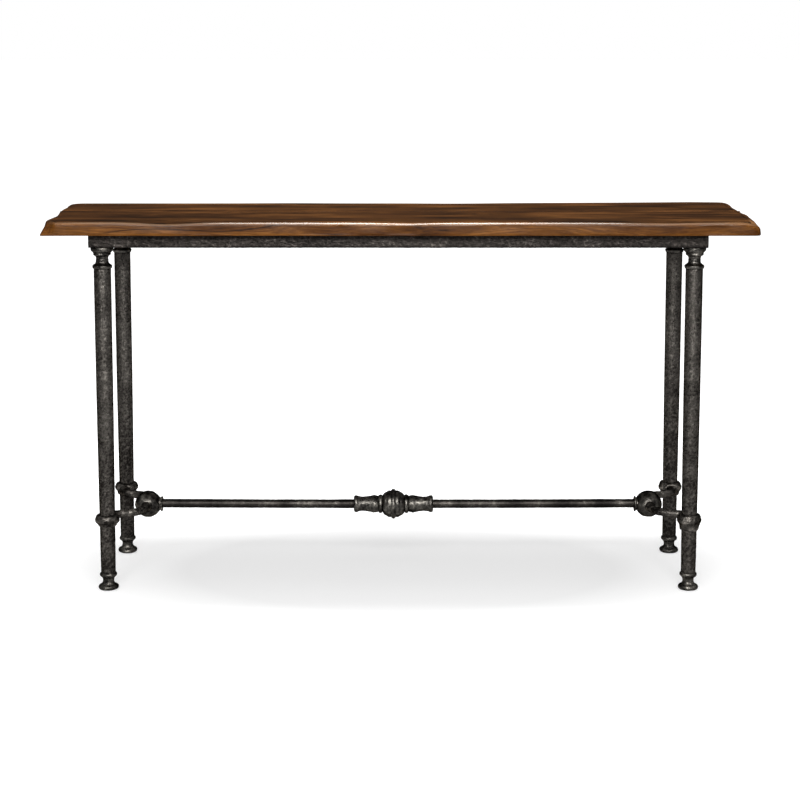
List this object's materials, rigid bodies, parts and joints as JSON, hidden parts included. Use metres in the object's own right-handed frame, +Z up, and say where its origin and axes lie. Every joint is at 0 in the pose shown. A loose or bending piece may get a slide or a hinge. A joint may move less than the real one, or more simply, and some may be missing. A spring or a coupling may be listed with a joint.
{
  "type": "console table",
  "caption": "Console or sofa table: live-edge walnut slab on a black iron base with turned column legs, S-curved side arms and a long stretcher bar with a turned ornament.",
  "frame": {"origin": "on the floor, under the middle of the table's bounding box", "axes": "+X along the table's length, to the right of somebody who faces its front; the front looks along -Y; +Z is up"},
  "size_m": [1.5412, 0.4683, 0.8155],
  "materials": {
    "walnut": "satin lacquer over dark stain, clear arris",
    "hammered_steel": "hammered, blackened and waxed",
    "cast_iron": "sand cast, blackened, high spots rubbed",
    "forged_iron": "forged, blackened and waxed",
    "zinc_steel": "zinc plated",
    "black_steel": "black oxide",
    "nylon": "moulded, matt"
  },
  "bodies": {
    "root": {"front_left_arm": "forged_iron", "front_left_capital": "cast_iron", "front_left_collar": "forged_iron", "front_left_column": "hammered_steel", "front_left_foot": "cast_iron", "front_left_glide": "nylon", "front_right_arm": "forged_iron", "front_right_capital": "cast_iron", "front_right_collar": "forged_iron", "front_right_column": "hammered_steel", "front_right_foot": "cast_iron", "front_right_glide": "nylon", "left_ball": "cast_iron", "left_baluster": "cast_iron", "left_bead": "cast_iron", "left_boss": "forged_iron", "left_orb_half": "cast_iron", "leg_nuts": "zinc_steel", "leg_tie_rods": "zinc_steel", "leg_washers": "zinc_steel", "orb_band": "cast_iron", "rail_end_caps": "hammered_steel", "rail_front": "hammered_steel", "rail_left": "hammered_steel", "rail_rear": "hammered_steel", "rail_right": "hammered_steel", "rail_weld_nuts": "zinc_steel", "rear_left_arm": "forged_iron", "rear_left_capital": "cast_iron", "rear_left_collar": "forged_iron", "rear_left_column": "hammered_steel", "rear_left_foot": "cast_iron", "rear_left_glide": "nylon", "rear_right_arm": "forged_iron", "rear_right_capital": "cast_iron", "rear_right_collar": "forged_iron", "rear_right_column": "hammered_steel", "rear_right_foot": "cast_iron", "rear_right_glide": "nylon", "right_ball": "cast_iron", "right_baluster": "cast_iron", "right_bead": "cast_iron", "right_boss": "forged_iron", "right_orb_half": "cast_iron", "stretcher_bar": "forged_iron", "stretcher_bolts": "black_steel", "top_board_front": "walnut", "top_board_rear": "walnut", "top_screws": "zinc_steel"}
  },
  "joints": []
}
